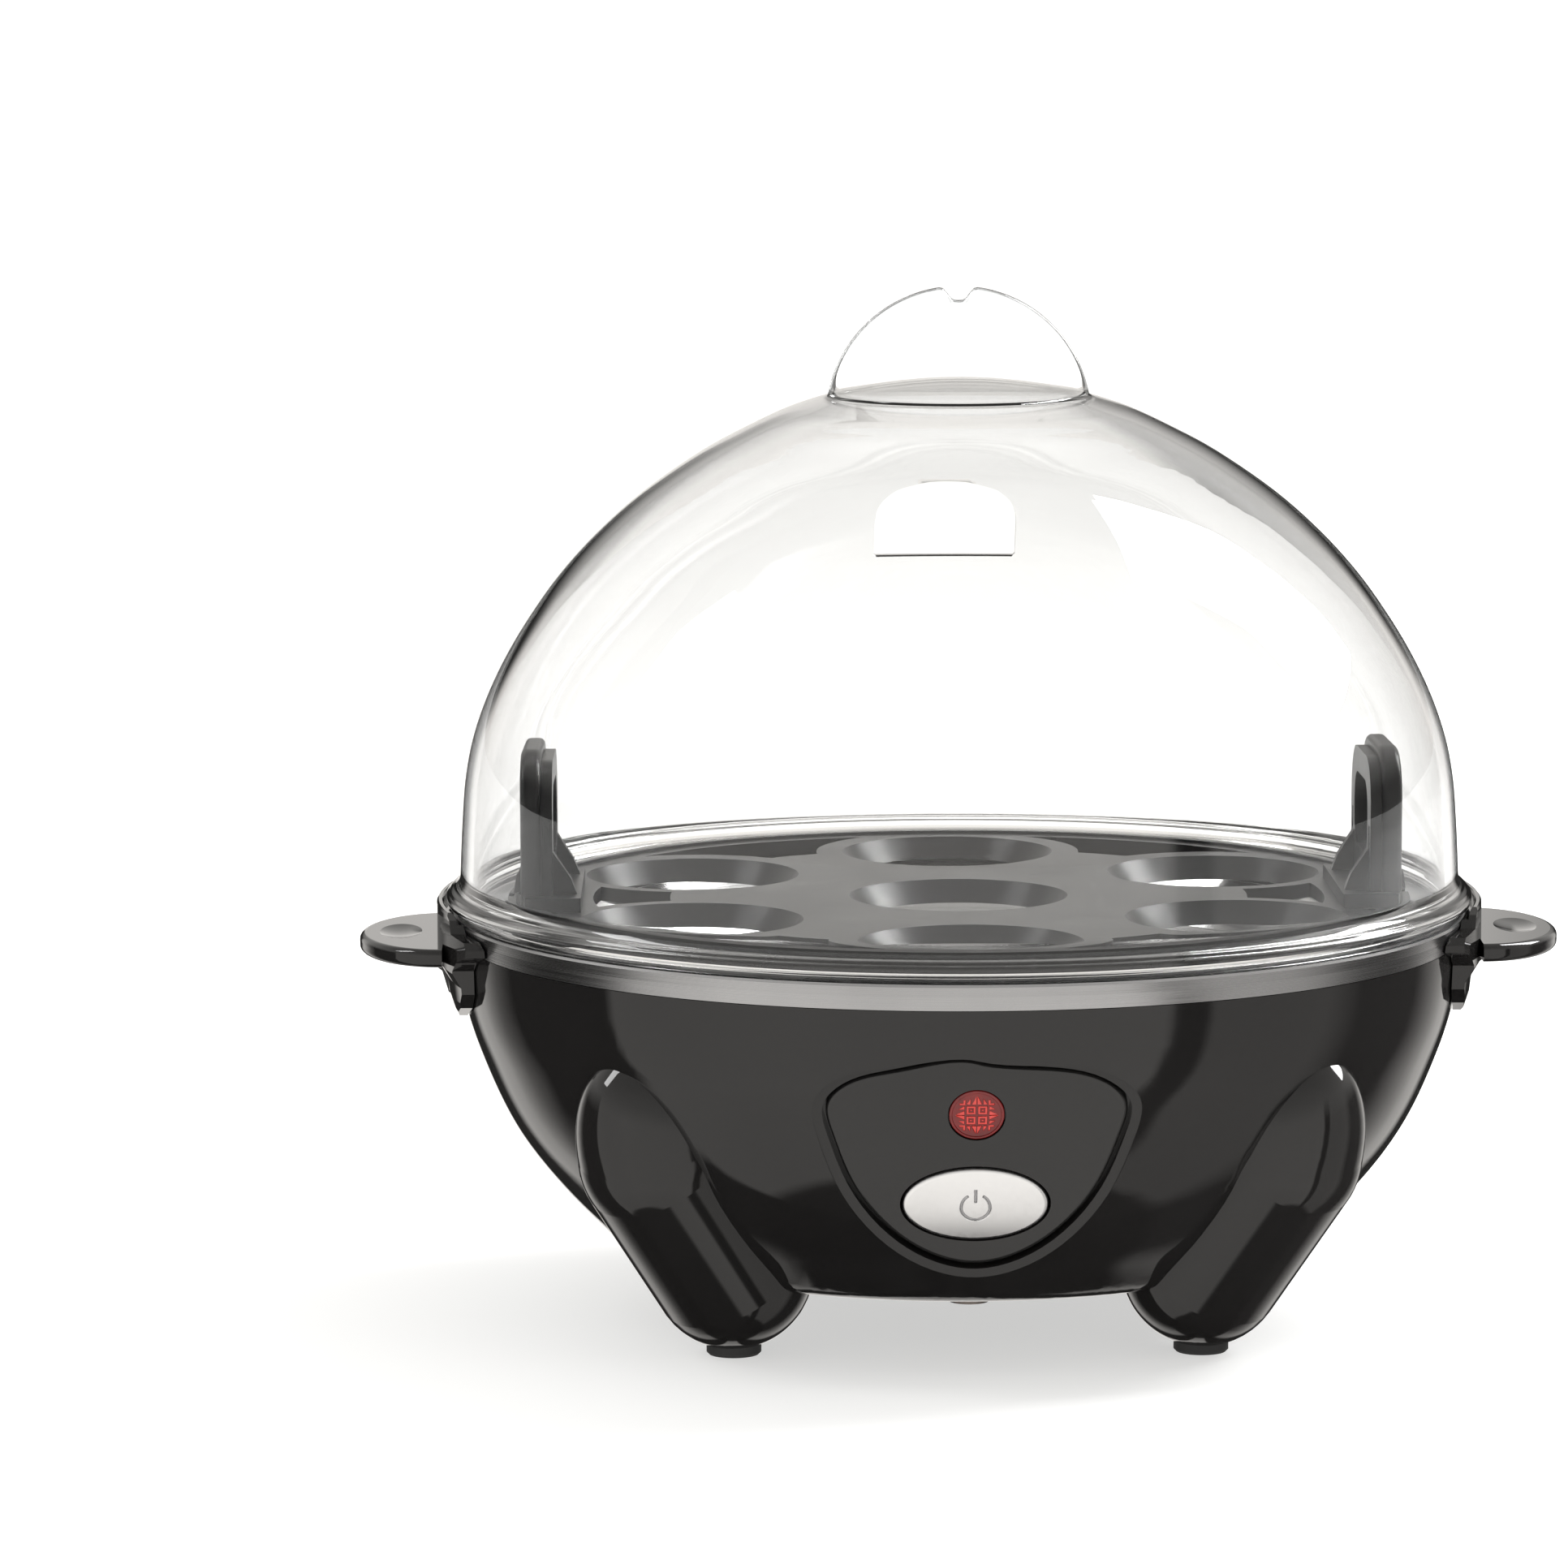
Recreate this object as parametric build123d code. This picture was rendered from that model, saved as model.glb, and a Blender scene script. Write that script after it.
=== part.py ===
from build123d import *
import os
from math import sin, cos, tan, radians, pi, sqrt, hypot, atan2, degrees

# Seven-egg steam cooker: rounded base on four legs, metal water dish, lift-out
# egg tray and a clear domed lid. Millimetres, +Z up, the floor at Z = 0, the
# control panel faces -Y and the two side grips lie along X.

# ---------------------------------------------------------------- dimensions
WALL = 2.2                     # moulded base wall
SHELL_OUT = [(78.1, 59.5), (76.6, 47.7), (74.5, 41.4), (71.8, 35.0), (68.3, 28.7),
             (63.5, 22.4), (60.1, 18.6), (55.2, 13.6), (49.0, 10.5)]   # r, z of the base's outer wall
BOTTOM_Z = 10.5                # underside of the base
BOTTOM_R = 45.5                # opening closed by the bottom cover
LEDGE_Z0, LEDGE_Z1 = 57.6, 60.0   # ledge that carries the seal and dish
LEDGE_R = 69.5
SPIGOT_R0, SPIGOT_R1, SPIGOT_Z = 74.6, 76.8, 62.3

LEG_R = 12.5                   # leg radius
LEG_TOP = (66.2, 32.5)         # r, z of the centre line, top
LEG_TOE = (50.8, 13.4)         # and bottom
LEG_TIP = (73.2, 49.6)         # end of the run-out, just inside the shell
FOOT_R_POS = 50.5              # radius of the foot centres
FOOT_PAD_R, FOOT_PAD_H = 4.2, 1.8
LEG_ANGLES = (45, 135, 225, 315)

TRIM_TOP_R, TRIM_BOT_R = 79.0, 78.1
TRIM_TOP_Z, TRIM_BOT_Z = 63.8, 59.6
TRIM_IN_R = 71.3

DISH_RIM_R, DISH_RIM_Z0, DISH_RIM_Z1 = 74.2, 61.2, 62.2
DISH_FLOOR_Z, DISH_T = 52.6, 1.0
DISH_FLOOR_R, DISH_LIP_R = 59.5, 65.0

TRAY_R, TRAY_Z0, TRAY_Z1 = 70.3, 63.2, 65.4
SEAT_PITCH_R = 48.0
SEAT_TOP_R, SEAT_BOT_R, SEAT_BOT_Z, SEAT_WALL = 17.0, 14.4, 62.0, 1.2
HANDLE_Z = 89.5                # top of the tray's lifting loops
HANDLE_X0, HANDLE_X1 = 62.9, 67.7
HANDLE_HALF = 15.0

LID_T = 2.0
LID_OUT = [(77.7, 69.3), (77.3, 77.8), (76.8, 84.1), (75.6, 90.4), (73.4, 96.8), (70.4, 103.1),
           (66.6, 109.4), (62.0, 115.8), (56.3, 122.1), (49.2, 128.4), (40.1, 134.7),
           (32.7, 138.7), (26.5, 141.6), (20.3, 143.6)]
LID_TOP_Z = 146.2
FLANGE_R, FLANGE_Z0, FLANGE_Z1 = 79.9, 64.9, 66.6
FIN_R, FIN_CZ, FIN_T = 20.6, 139.9, 2.4

PANEL_TILT = 20.0              # degrees from vertical
PANEL_D, PANEL_Z = 68.0, 34.8  # distance in front of the axis, height of its centre
PANEL_OUT = [(0, 19.4), (12.0, 18.1), (20.6, 15.4), (24.2, 11.2), (23.6, 5.0), (20.6, -3.4),
             (15.2, -11.6), (7.8, -17.4), (0, -19.4)]
LENS_T, LENS_R = 8.4, 4.2      # height along the panel, radius
BUTTON_T, BUTTON_A, BUTTON_B = -6.8, 10.9, 6.1
BUTTON_TRAVEL = 2.0

EAR_TIP_X, EAR_HALF_Y = 93.4, 20.0
EAR_Z0, EAR_Z1 = 57.3, 60.1

INLET_Z, INLET_Y = 26.0, 67.5
INLET_R = 3.4

C3 = (Align.CENTER, Align.CENTER, Align.MIN)


# ------------------------------------------------------------------- helpers
def save(name, parts):
    if isinstance(parts, (list, tuple)):
        shape = Compound(children=[p for p in parts])
    else:
        shape = parts
    export_step(shape, f"parts/{name}.step")
    print(name, round(shape.volume, 1))


def ring(pts):
    """Solid of revolution about Z of a closed polygon of (r, z)."""
    return revolve(make_face(Polyline(*[(r, 0, z) for r, z in pts], close=True)), Axis.Z)


def rz(pts):
    return [(r, 0, z) for r, z in pts]


def inward(pts, t):
    """The (r, z) points moved t to the inside of a downward-running profile, or to the outside of a rising one."""
    out = []
    for i, (r, z) in enumerate(pts):
        a = pts[max(i - 1, 0)]
        b = pts[min(i + 1, len(pts) - 1)]
        dr, dz = b[0] - a[0], b[1] - a[1]
        n = hypot(dr, dz)
        out.append((r + t * dz / n, z - t * dr / n))
    return out


def cyl(r, h, x=0, y=0, z=0):
    return Pos(x, y, z) * Cylinder(r, h, align=C3)


def cyl_x(r, x0, x1, y, z):
    return Pos(min(x0, x1), y, z) * Rot(0, 90, 0) * Cylinder(r, abs(x1 - x0), align=C3)


def cyl_y(r, y0, y1, x, z):
    return Pos(x, max(y0, y1), z) * Rot(90, 0, 0) * Cylinder(r, abs(y1 - y0), align=C3)


def block(x0, x1, y0, y1, z0, z1):
    return Pos((x0 + x1) / 2, (y0 + y1) / 2, (z0 + z1) / 2) * Box(x1 - x0, y1 - y0, z1 - z0)


def capsule(a, b, r):
    a, b = Vector(*a), Vector(*b)
    d = b - a
    n, q = d.length, r * sqrt(0.5)
    half = make_face(Curve() + [Line((0, 0, -r), (0, 0, n + r)), ThreePointArc((0, 0, n + r), (q, 0, n + q), (r, 0, n)),
                                Line((r, 0, n), (r, 0, 0)), ThreePointArc((r, 0, 0), (q, 0, -q), (0, 0, -r))])
    return Plane(origin=a, z_dir=d) * revolve(half, Axis.Z)


def hexnut(x, y, z, af, h, bore):
    body = extrude(Pos(x, y, z) * RegularPolygon(af / 2, 6, major_radius=False), amount=h)
    return body - cyl(bore, h + 2, x, y, z - 1)


# --------------------------------------------------------- base shell + legs
s_tan0, s_tan1 = (-0.06, 0, -1.0), (-1.0, 0, -0.12)
shell_in = inward(SHELL_OUT, WALL)
shell_in[0] = (75.9, LEDGE_Z0)
shell_in[-1] = (49.0, BOTTOM_Z + WALL)
shell_in = [shell_in[0]] + [p for p in shell_in[1:-1] if p[1] < LEDGE_Z0 - 4] + [shell_in[-1]]

outer_edge = Spline(*rz(SHELL_OUT), tangents=[s_tan0, s_tan1])
inner_edge = Spline(*rz(shell_in), tangents=[(-0.08, 0, -1.0), (-1.0, 0, -0.05)])
wall_face = make_face(Curve() + [
    outer_edge,
    Polyline(*rz([(49.0, BOTTOM_Z), (BOTTOM_R, BOTTOM_Z), (BOTTOM_R, BOTTOM_Z + WALL), (49.0, BOTTOM_Z + WALL)])),
    inner_edge,
    Polyline(*rz([(75.9, LEDGE_Z0), (LEDGE_R, LEDGE_Z0), (LEDGE_R, LEDGE_Z1), (SPIGOT_R0, LEDGE_Z1),
                  (SPIGOT_R0, SPIGOT_Z), (SPIGOT_R1, SPIGOT_Z), (SPIGOT_R1, 59.5), (78.1, 59.5)])),
])
shell_wall = revolve(wall_face, Axis.Z)

# everything inside the outer wall, and the cavity inside the inner wall
outer_solid = revolve(make_face(Curve() + [outer_edge, Polyline(*rz([(49.0, BOTTOM_Z), (0, BOTTOM_Z), (0, 59.5), (78.1, 59.5)]))]), Axis.Z)
cavity = revolve(make_face(Curve() + [inner_edge, Polyline(*rz([(49.0, BOTTOM_Z + WALL), (0, BOTTOM_Z + WALL), (0, LEDGE_Z0), (75.9, LEDGE_Z0)]))]), Axis.Z)


def leg_solid(a, r):
    c, s = cos(radians(a)), sin(radians(a))
    at = lambda p: (p[0] * c, p[0] * s, p[1])
    return capsule(at(LEG_TOP), at(LEG_TOE), r)


def leg_tip(a):
    """Rounded run-out of a leg: half an egg shape that rises from its top sphere into the shell."""
    c, s = cos(radians(a)), sin(radians(a))
    p, q = Vector(LEG_TOP[0] * c, LEG_TOP[0] * s, LEG_TOP[1]), Vector(LEG_TIP[0] * c, LEG_TIP[0] * s, LEG_TIP[1])
    d = q - p
    r, n = LEG_R - 0.2, d.length
    rim = [(r * cos(radians(t)), 0, n * sin(radians(t))) for t in (4, 15, 30, 45, 60, 75, 90)]
    half = make_face(Curve() + [
        Spline(*rim, tangents=[(-0.07 * r, 0, n), (-1, 0, 0)]),
        Polyline((0, 0, n), (0, 0, rim[0][2]), rim[0])])
    return Plane(origin=p, z_dir=d) * revolve(half, Axis.Z)


legs_out = [leg_solid(a, LEG_R) for a in LEG_ANGLES]
legs_in = [leg_solid(a, LEG_R - WALL) for a in LEG_ANGLES]

base_shell = shell_wall
for lo in legs_out:
    base_shell = base_shell + (lo - cavity)
for a in LEG_ANGLES:
    base_shell = base_shell + (leg_tip(a) - cavity)
for li in legs_in:
    base_shell = base_shell - li
foot_pos = [(FOOT_R_POS * cos(radians(a)), FOOT_R_POS * sin(radians(a))) for a in LEG_ANGLES]
for fx, fy in foot_pos:
    base_shell = base_shell - cyl(FOOT_PAD_R + 0.05, FOOT_PAD_H + 5, fx, fy, -5) - cyl(1.65, 12, fx, fy, -2)

# control panel seat: a shield-shaped collar with a shallow pocket
n_dir = (0, -cos(radians(PANEL_TILT)), -sin(radians(PANEL_TILT)))
PP = Plane(origin=(0, -PANEL_D, PANEL_Z), x_dir=(1, 0, 0), z_dir=n_dir)


def outline(d=0.0):
    """The panel's outline, moved in by d."""
    half = PANEL_OUT
    pts = half + [(-x, y) for x, y in half[-2:0:-1]]
    n = len(pts)
    out = []
    for i in range(n):
        a, b = pts[i - 1], pts[(i + 1) % n]
        dx, dy = b[0] - a[0], b[1] - a[1]
        m = hypot(dx, dy)
        out.append((pts[i][0] + d * dy / m, pts[i][1] - d * dx / m))
    return make_face(Wire([Spline(*out, periodic=True).edge()]))


def prism(face, z0, z1):
    return PP * Pos(0, 0, z0) * extrude(face, amount=z1 - z0, dir=(0, 0, 1))


def on_panel(x, t, z, shape):
    return PP * Pos(x, t, z) * shape


collar = prism(outline(-2.0), -4.4, 8.0) & outer_solid
base_shell = base_shell + collar + prism(outline(0), -4.4, 0)
base_shell = base_shell - prism(outline(0), 0, 25) - prism(outline(1.5), -2.2, 25)
base_shell = base_shell - on_panel(0, LENS_T, -10, Cylinder(3.3, 20, align=C3))
base_shell = base_shell - PP * Pos(0, BUTTON_T, -10) * extrude(Ellipse(BUTTON_A + 0.6, BUTTON_B + 0.6), amount=20)
# switch pillars on the back of the seat
for sx in (-14.6, 14.6):
    base_shell = base_shell + on_panel(sx, BUTTON_T, -8.0, Cylinder(2.7, 3.8, align=C3))
    base_shell = base_shell - on_panel(sx, BUTTON_T, -8.1, Cylinder(1.0, 3.6, align=C3))

# cord inlet seat at the rear
inlet_boss = cyl_y(9.5, 57.5, INLET_Y, 0, INLET_Z)
base_shell = base_shell + inlet_boss - cyl_y(9.5, INLET_Y, INLET_Y + 20, 0, INLET_Z)
base_shell = base_shell - cyl_y(5.55, 50, 80, 0, INLET_Z)

# screw pillars for the bottom cover, tied to the wall by ribs, at the front, rear and sides
COVER_SCREW_R = 41.0
cover_pts = [(COVER_SCREW_R, 0), (-COVER_SCREW_R, 0), (0, -COVER_SCREW_R), (0, COVER_SCREW_R)]
for i, (x, y) in enumerate(cover_pts):
    ux, uy = x / COVER_SCREW_R, y / COVER_SCREW_R
    rib = Rot(0, 0, degrees(atan2(uy, ux))) * block(COVER_SCREW_R, 64, -1.5, 1.5, BOTTOM_Z + WALL, 19.0)
    pillar = cyl(3.8, 19.0 - BOTTOM_Z - WALL, x, y, BOTTOM_Z + WALL)
    base_shell = base_shell + (rib & outer_solid) + pillar - cyl(1.25, 5.5, x, y, BOTTOM_Z + WALL - 0.1)

# strap pillars at the sides
STRAP_X, STRAP_Z = 58.0, 38.3
for sx in (-1, 1):
    pil = block(sx * 58 - 4, sx * 58 + 4, -4, 4, 15.0, STRAP_Z) + block(min(sx * 58, sx * 72), max(sx * 58, sx * 72), -1.5, 1.5, 20.0, STRAP_Z - 2)
    base_shell = base_shell + (pil & outer_solid) - cyl(1.25, 10, sx * STRAP_X, 0, STRAP_Z - 9)

# screw holes for the side grips
GRIP_SCREW_Y, GRIP_SCREW_Z = 9.0, 52.0
for sx in (-1, 1):
    for sy in (-1, 1):
        base_shell = base_shell - cyl_x(1.4, sx * 70, sx * 80, sy * GRIP_SCREW_Y, GRIP_SCREW_Z)
save("base_shell", base_shell)

# ------------------------------------------------------------- bottom cover
cover = cyl(BOTTOM_R - 0.25, WALL, 0, 0, BOTTOM_Z)
for a in LEG_ANGLES:
    cover = cover - leg_solid(a, LEG_R + 0.3)
for x, y in cover_pts:
    cover = cover - cyl(1.6, 6, x, y, BOTTOM_Z - 2)
slot_len = 13.0
for a in range(0, 180, 30):
    for s in (-1, 1):
        slot = extrude(SlotOverall(slot_len, 2.4), amount=10)
        if a in (0, 90):
            cover = cover - Rot(0, 0, a) * Pos(s * 22.0, 0, BOTTOM_Z - 3) * slot
        else:
            cover = cover - Rot(0, 0, a) * Pos(s * 20.0, 0, BOTTOM_Z - 3) * slot
# retaining posts that the terminal block sits between
TB = (0.0, 27.0)
cover = cover + block(-15.5, -13.5, TB[1] - 4, TB[1] + 4, BOTTOM_Z + WALL, 18.0) + block(13.5, 15.5, TB[1] - 4, TB[1] + 4, BOTTOM_Z + WALL, 18.0)
save("bottom_cover", cover)

screws = []
for x, y in cover_pts:
    head = cyl(3.0, 1.5, x, y, BOTTOM_Z - 1.5)
    head = head - block(x - 2.0, x + 2.0, y - 0.35, y + 0.35, BOTTOM_Z - 2, BOTTOM_Z - 0.7) - block(x - 0.35, x + 0.35, y - 2.0, y + 2.0, BOTTOM_Z - 2, BOTTOM_Z - 0.7)
    screws.append(head + cyl(1.2, 7.0, x, y, BOTTOM_Z))
save("bottom_screws", screws)

feet = []
for fx, fy in foot_pos:
    feet.append(chamfer(cyl(FOOT_PAD_R, FOOT_PAD_H, fx, fy, 0).edges().sort_by(Axis.Z)[0], 0.4) + cyl(1.6, 2.6, fx, fy, FOOT_PAD_H))
save("rubber_feet", feet)

# ------------------------------------------------------------------ trim ring
trim = ring([(TRIM_BOT_R, TRIM_BOT_Z), (TRIM_BOT_R + 0.45, 61.7), (TRIM_TOP_R, 63.2), (TRIM_TOP_R - 0.15, 63.6), (TRIM_TOP_R - 0.6, TRIM_TOP_Z),
             (TRIM_IN_R, TRIM_TOP_Z), (TRIM_IN_R, 62.6), (77.0, 62.6), (77.0, TRIM_BOT_Z)])
save("trim_ring", trim)

# ------------------------------------------------------ water dish and its fit
dish = ring([(0, DISH_FLOOR_Z), (DISH_FLOOR_R, DISH_FLOOR_Z), (DISH_LIP_R, DISH_RIM_Z0), (DISH_RIM_R, DISH_RIM_Z0), (DISH_RIM_R, DISH_RIM_Z1),
             (DISH_LIP_R - 0.6, DISH_RIM_Z1), (DISH_FLOOR_R - 0.6, DISH_FLOOR_Z + DISH_T), (0, DISH_FLOOR_Z + DISH_T)])
# the floor's shallow water-level ring
dish = dish - ring([(50.0, DISH_FLOOR_Z + DISH_T - 0.4), (51.2, DISH_FLOOR_Z + DISH_T - 0.4), (51.2, DISH_FLOOR_Z + 3), (50.0, DISH_FLOOR_Z + 3)])
STUD_R, STUD_POS = 2.0, 25.0
for x, y, low in ((STUD_POS, 0, 35.0), (-STUD_POS, 0, 35.0), (0, STUD_POS, 40.4), (0, -STUD_POS, 40.4)):
    dish = dish + cyl(STUD_R, DISH_FLOOR_Z - low, x, y, low)
save("heating_dish", dish)

save("dish_seal", ring([(70.2, LEDGE_Z1), (74.3, LEDGE_Z1), (74.3, DISH_RIM_Z0), (73.4, DISH_RIM_Z0), (73.1, 60.9), (72.6, DISH_RIM_Z0), (70.2, DISH_RIM_Z0)]))

# tubular heating element: an open loop with cold ends
EL_R, EL_T = 38.0, 3.3
EL_Z = DISH_FLOOR_Z - EL_T - 0.02
gap = 22.0
el_face = Plane(origin=(EL_R * cos(radians(-90 + gap / 2)), EL_R * sin(radians(-90 + gap / 2)), EL_Z),
                x_dir=(cos(radians(-90 + gap / 2)), sin(radians(-90 + gap / 2)), 0),
                z_dir=(-sin(radians(-90 + gap / 2)), cos(radians(-90 + gap / 2)), 0)) * Circle(EL_T)
element = revolve(el_face, Axis.Z, 360 - gap)
for a in (-90 - gap / 2, -90 + gap / 2):
    ca, sa = cos(radians(a)), sin(radians(a))
    tx, ty = (-sa, ca) if a < -90 else (sa, -ca)
    p0 = Vector(EL_R * ca, EL_R * sa, EL_Z)
    d = Vector(tx, ty, 0)
    element = element + Plane(origin=p0 - d * 0.5, z_dir=d) * Cylinder(2.6, 2.0, align=C3)
    element = element + Plane(origin=p0, z_dir=d) * Cylinder(1.1, 5.0, align=C3)
save("heating_element", element)

clamp = cyl(43.5, 1.2, 0, 0, EL_Z - EL_T - 1.22) - cyl(20.0, 5, 0, 0, 42)
for a in (45, 135, 225, 315):
    clamp = clamp - Rot(0, 0, a) * Pos(35, 0, 42) * extrude(SlotOverall(22, 12), amount=6)
for x, y in ((25, 0), (-25, 0), (0, 25), (0, -25)):
    clamp = clamp - cyl(2.3, 6, x, y, 42)
save("element_clamp", clamp)

# thermostat, its spring clip and the thermal fuse under the dish
CLIP_Z1 = EL_Z - EL_T - 1.24
clip = block(-4.5, 4.5, -30, 30, CLIP_Z1 - 0.8, CLIP_Z1)
for y in (-25, 25):
    clip = clip - cyl(2.3, 4, 0, y, CLIP_Z1 - 2)
save("thermostat_clip", clip)
therm = cyl(8.0, DISH_FLOOR_Z - 0.1 - 48.2, 0, 0, 48.2) + cyl(6.4, 48.2 - CLIP_Z1, 0, 0, CLIP_Z1)
for sx in (-1, 1):
    therm = therm + block(sx * 12.6 - 2.6, sx * 12.6 + 2.6, -2.4, 2.4, 47.2, 48.0) + block(sx * 8.2 - 2.4, sx * 8.2 + 2.4, -2.4, 2.4, 47.2, 48.6)
save("thermostat", therm)
fuse = cyl_x(2.2, -7, 7, 13.0, 50.2) + cyl_x(0.5, -10.5, 10.5, 13.0, 50.2)
save("thermal_fuse", fuse)

# heat shield: a shallow pan under the element
SH_Z = CLIP_Z1 - 0.8
shield = ring([(0, SH_Z - 0.6), (50.6, SH_Z - 0.6), (52.6, 49.0), (52.0, 49.0), (50.1, SH_Z), (0, SH_Z)])
for x, y in ((25, 0), (-25, 0), (0, 25), (0, -25)):
    shield = shield - cyl(2.3, 6, x, y, SH_Z - 3)
for a in (-104, -76):
    shield = shield - cyl(3.2, 6, 38 * cos(radians(a)), 38 * sin(radians(a)), SH_Z - 3)
shield = shield - cyl(3.2, 6, 14, 14, SH_Z - 3) - cyl(3.2, 6, -14, 14, SH_Z - 3)
save("heat_shield", shield)

nuts = [hexnut(x, y, SH_Z - 0.6 - 2.4, 7.0, 2.4, STUD_R + 0.02) for x, y in ((25, 0), (-25, 0), (0, 25), (0, -25))]
save("shield_nuts", nuts)

strap = block(-64, 64, -5, 5, STRAP_Z, STRAP_Z + 1.4)
for x in (-25, 25):
    strap = strap - cyl(2.3, 5, x, 0, STRAP_Z - 2)
for x in (-STRAP_X, STRAP_X):
    strap = strap - cyl(1.7, 5, x, 0, STRAP_Z - 2)
save("mounting_strap", strap)
save("strap_nuts", [hexnut(x, 0, STRAP_Z - 2.6, 7.0, 2.6, STUD_R + 0.02) for x in (-25, 25)])
save("strap_screws", [cyl(3.0, 1.6, x, 0, STRAP_Z + 1.4) - block(x - 2.0, x + 2.0, -0.4, 0.4, STRAP_Z + 2.1, STRAP_Z + 4)
                      + cyl(1.2, 9.0, x, 0, STRAP_Z - 7.6) for x in (-STRAP_X, STRAP_X)])

# --------------------------------------------------------------- side grips
grip_sec = make_face(Polyline(*rz([(76.85, 47.2), (77.9, 53.5), (78.35, 59.6), (79.15, 62.9), (79.15, 63.95), (80.25, 63.95), (80.25, 65.2),
                                   (80.55, 65.5), (81.05, 65.5), (81.35, 65.1), (81.35, 56.6), (79.9, 54.2), (79.6, 51.6), (78.9, 49.4), (77.9, 47.4)]), close=True))
grip_ring = revolve(grip_sec, Axis.Z, 60)
side = [(0, 65.6), (16.5, 65.6), (19.2, 64.6), (20.2, 62.6), (27.2, 62.3), (28.2, 61.2), (27.6, 60.0), (23.2, 58.6), (21.0, 57.0), (20.2, 53.2),
        (17.0, 50.6), (9.0, 48.2), (0, 47.0)]
side_pts = side + [(-y, z) for y, z in side[-2:0:-1]]
mask = extrude(make_face(Polyline(*[(0, y, z) for y, z in side_pts], close=True)), amount=120, dir=(1, 0, 0))
grip = (Rot(0, 0, -30) * grip_ring) & mask
ear_c = 80.4
ear = extrude(Pos(ear_c, 0, EAR_Z0) * Ellipse(EAR_TIP_X - ear_c, EAR_HALF_Y), amount=EAR_Z1 - EAR_Z0)
ear = fillet(ear.edges(), 1.0)
ear = ear & block(ear_c - 0.2, 100, -30, 30, 50, 70)
ear = ear - Pos(87.0, 0, EAR_Z1 + 6.14) * scale(Sphere(1.0), by=(8.0, 18.2, 6.74))
grip = grip + ear
rib_f = make_face(Polyline((79.4, 0, 57.6), (85.5, 0, 57.6), (80.6, 0, 54.0), (79.6, 0, 50.6), (78.8, 0, 50.6), close=True))
grip = grip + Pos(0, 1.3, 0) * extrude(rib_f, amount=2.6, dir=(0, -1, 0))
for sy in (-1, 1):
    grip = grip - cyl_x(1.15, 70, 78.9, sy * GRIP_SCREW_Y, GRIP_SCREW_Z)
save("right_grip", grip)
left_grip = Rot(0, 0, 180) * grip
save("left_grip", left_grip)

gs = []
for sx in (-1, 1):
    for sy in (-1, 1):
        y = sy * GRIP_SCREW_Y
        gs.append(cyl_x(2.4, sx * 72.0, sx * 73.6, y, GRIP_SCREW_Z) + cyl_x(1.1, sx * 73.6, sx * 78.7, y, GRIP_SCREW_Z)
                  - (block(71.5, 72.6, y - 0.35, y + 0.35, 50.4, 53.6) if sx > 0 else block(-72.6, -71.5, y - 0.35, y + 0.35, 50.4, 53.6)))
save("grip_screws", gs)

# ------------------------------------------------------------ control panel
panel = prism(outline(2.1), -2.18, -0.25)
panel = fillet([e for e in panel.edges() if PP.to_local_coords(e.center()).Z > -0.5], 0.7)
panel = panel - on_panel(0, LENS_T, -6, Cylinder(LENS_R + 0.12, 12, align=C3))
panel = panel - PP * Pos(0, BUTTON_T, -6) * extrude(Ellipse(BUTTON_A + 0.35, BUTTON_B + 0.35), amount=12)
save("control_panel", panel)

lens = on_panel(0, LENS_T, -2.18, Cylinder(LENS_R, 2.0, align=C3)) + on_panel(0, LENS_T, -4.0, Cylinder(3.2, 1.9, align=C3))
for i in range(-2, 3):
    lens = lens - on_panel(i * 1.5, LENS_T, -0.38, Box(0.35, 9, 0.5, align=C3)) - on_panel(0, LENS_T + i * 1.5, -0.38, Box(9, 0.35, 0.5, align=C3))
save("indicator_lens", lens)

holder = on_panel(0, LENS_T, -10.4, Cylinder(4.4, 6.0, align=C3)) - on_panel(0, LENS_T, -9.4, Cylinder(3.15, 6.0, align=C3))
for sx in (-1.3, 1.3):
    holder = holder - on_panel(sx, LENS_T, -12, Cylinder(0.6, 4, align=C3))
save("lamp_holder", holder)
lamp = on_panel(0, LENS_T, -9.3, Cylinder(2.5, 2.6, align=C3)) + on_panel(0, LENS_T, -6.7, Sphere(2.5))
for sx in (-1.3, 1.3):
    lamp = lamp + on_panel(sx, LENS_T, -11.4, Cylinder(0.4, 3.0, align=C3))
save("indicator_lamp", lamp)

# power button, plunger, spring and switch
cap = extrude(Ellipse(BUTTON_A, BUTTON_B), amount=4.1)
cap = fillet(cap.edges().sort_by(Axis.Z)[-1], 0.7)
cap = PP * Pos(0, BUTTON_T, -3.4) * cap
sym = extrude(Circle(2.5) - Circle(2.05) - Pos(0, 2.4) * Rectangle(1.8, 2.4), amount=0.4) + extrude(Pos(0, 2.2) * Rectangle(0.45, 2.4), amount=0.4)
cap = cap - PP * Pos(0, BUTTON_T, 0.55) * sym
cap = cap - on_panel(0, BUTTON_T, -3.5, Cylinder(4.4, 2.2, align=C3))
save("power_button", cap)
plunger = on_panel(0, BUTTON_T, -11.4, Cylinder(2.0, 10.1, align=C3)) + on_panel(0, BUTTON_T, -1.8, Cylinder(3.9, 0.5, align=C3))
save("switch_plunger", plunger)
helix = Helix(pitch=1.85, height=5.55, radius=2.9)
coil = sweep(Plane(origin=helix @ 0, z_dir=helix % 0) * Circle(0.3), path=helix, is_frenet=True)
save("button_spring", PP * Pos(0, BUTTON_T, -7.65) * coil)

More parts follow.
